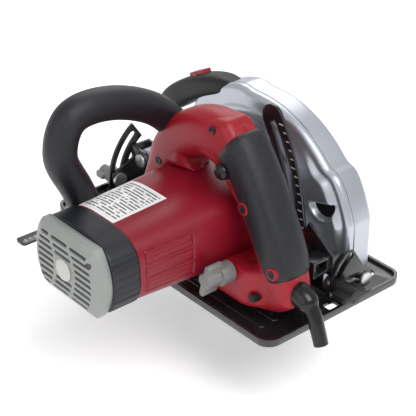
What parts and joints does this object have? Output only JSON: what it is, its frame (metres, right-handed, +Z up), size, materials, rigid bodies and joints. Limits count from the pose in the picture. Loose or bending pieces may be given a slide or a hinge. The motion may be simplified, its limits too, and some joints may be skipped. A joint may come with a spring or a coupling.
{
  "type": "circular saw",
  "caption": "Hand-held circular saw with tilting sole, depth arm, sprung lower blade guard, side motor, rear trigger handle, front loop handle and rip fence.",
  "frame": {"origin": "centre of the sole's underside", "axes": "+X is the cutting direction, +Y is towards the motor, +Z is up, away from the workpiece"},
  "size_m": [0.3192, 0.2813, 0.2342],
  "materials": {
    "black_paint": "gloss",
    "steel": "satin",
    "silver_casting": "satin",
    "red_plastic": "satin",
    "dark_plastic": "matte",
    "light_plastic": "matte",
    "grey_plastic": "matte",
    "rubber": "matte",
    "label_film": "satin",
    "lamination": "matte",
    "brass": "satin",
    "carbon": "matte"
  },
  "bodies": {
    "sole": {"sole_plate": "black_paint", "fence_guides": "black_paint", "front_quadrant": "black_paint", "rear_quadrant": "black_paint", "bevel_rivets": "steel"},
    "fence": {"fence_bar": "black_paint", "fence_shoe": "black_paint"},
    "fence_wing_screw": {"fence_screw": "steel"},
    "tilting_frame": {"front_bracket": "black_paint", "depth_pin": "steel", "depth_arm": "black_paint", "arm_foot": "black_paint", "front_bevel_bolt": "steel", "rear_bevel_bolt": "steel"},
    "front_wing_knob": {"front_bevel_knob": "light_plastic"},
    "rear_wing_knob": {"rear_bevel_knob": "dark_plastic"},
    "saw_body": {"upper_guard_inner": "silver_casting", "upper_guard_outer": "silver_casting", "gear_case": "silver_casting", "motor_housing": "red_plastic", "cap_ring": "dark_plastic", "end_cap": "grey_plastic", "rating_plate": "label_film", "front_handle": "rubber", "handle_right_shell": "red_plastic", "handle_left_shell": "red_plastic", "handle_screw_set": "steel", "grip_left": "rubber", "grip_right": "rubber", "trigger_pin": "steel", "switch_block": "dark_plastic", "cord_guard": "rubber", "depth_clamp_bolt": "steel", "light_unit": "dark_plastic", "guard_screws": "steel", "cap_screws": "steel", "stator": "lamination", "brush_holders": "brass", "brushes": "carbon", "armature_bearings": "steel", "spindle_bearings": "steel", "guard_spring": "steel"},
    "blade_spindle": {"spindle_shaft": "steel", "drive_gear": "steel", "inner_flange": "steel", "outer_flange": "steel", "blade_bolt": "steel", "blade": "steel"},
    "armature": {"armature_shaft": "steel", "armature_core": "lamination", "commutator": "brass", "fan": "dark_plastic", "pinion": "steel"},
    "lower_guard": {"lower_guard": "silver_casting"},
    "trigger": {"trigger": "dark_plastic"},
    "lock_off_button": {"lock_off_button": "dark_plastic"},
    "spindle_lock": {"spindle_lock": "dark_plastic"},
    "light_switch": {"light_switch": "red_plastic"},
    "depth_knob": {"depth_knob": "light_plastic"}
  },
  "joints": [
    {"name": "bevel_tilt", "type": "hinge", "parent": "sole", "child": "tilting_frame", "pos_m": [0, -0.0375, 0.0125], "axis": [1, 0, 0], "range_deg": [0, 45]},
    {"name": "depth_swing", "type": "hinge", "parent": "tilting_frame", "child": "saw_body", "pos_m": [0.1065, 0, 0.034], "axis": [0, 1, 0], "range_deg": [0, 22]},
    {"name": "blade_spin", "type": "hinge", "parent": "saw_body", "child": "blade_spindle", "pos_m": [-0.014, 0, 0.029], "axis": [0, 1, 0], "continuous": true},
    {"name": "armature_spin", "type": "hinge", "parent": "saw_body", "child": "armature", "pos_m": [-0.027, 0, 0.05879], "axis": [0, 1, 0], "continuous": true},
    {"name": "lower_guard_swing", "type": "hinge", "parent": "saw_body", "child": "lower_guard", "pos_m": [-0.014, 0, 0.029], "axis": [0, 1, 0], "range_deg": [0, 120], "stiffness_Nm_per_rad": 0.12, "springref_deg": -114.59},
    {"name": "trigger_pull", "type": "hinge", "parent": "saw_body", "child": "trigger", "pos_m": [-0.063, 0.0375, 0.103], "axis": [0, 1, 0], "range_deg": [0, 6], "stiffness_Nm_per_rad": 0.5, "springref_deg": -8.59},
    {"name": "lock_off_press", "type": "slide", "parent": "saw_body", "child": "lock_off_button", "axis": [0, -1, 0], "range_m": [0, 0.003], "stiffness_N_per_m": 400, "springref_m": -0.003},
    {"name": "spindle_lock_press", "type": "slide", "parent": "saw_body", "child": "spindle_lock", "axis": [-1, 0, 0], "range_m": [0, 0.003], "stiffness_N_per_m": 400, "springref_m": -0.003},
    {"name": "light_rocker", "type": "hinge", "parent": "saw_body", "child": "light_switch", "pos_m": [0.066, -0.034, 0.1205], "axis": [0, 1, 0], "range_deg": [-4, 4]},
    {"name": "depth_knob_turn", "type": "hinge", "parent": "saw_body", "child": "depth_knob", "pos_m": [-0.08144, 0, 0.03892], "axis": [0, 1, 0], "range_deg": [-25, 25]},
    {"name": "front_knob_turn", "type": "hinge", "parent": "tilting_frame", "child": "front_wing_knob", "pos_m": [0, 0.01587, 0.01623], "axis": [1, 0, 0], "range_deg": [-90, 90]},
    {"name": "rear_knob_turn", "type": "hinge", "parent": "tilting_frame", "child": "rear_wing_knob", "pos_m": [0, -0.00571, 0.01926], "axis": [1, 0, 0], "range_deg": [-90, 90]},
    {"name": "fence_slide", "type": "slide", "parent": "sole", "child": "fence", "axis": [0, 1, 0], "range_m": [-0.1, 0.024]},
    {"name": "fence_screw_turn", "type": "hinge", "parent": "sole", "child": "fence_wing_screw", "pos_m": [0.103, 0.056, 0], "axis": [0, 0, 1], "range_deg": [-180, 180]}
  ],
  "couplings": [
    {"joint": "armature_spin", "follows": "blade_spin", "ratio": -3.1667}
  ]
}
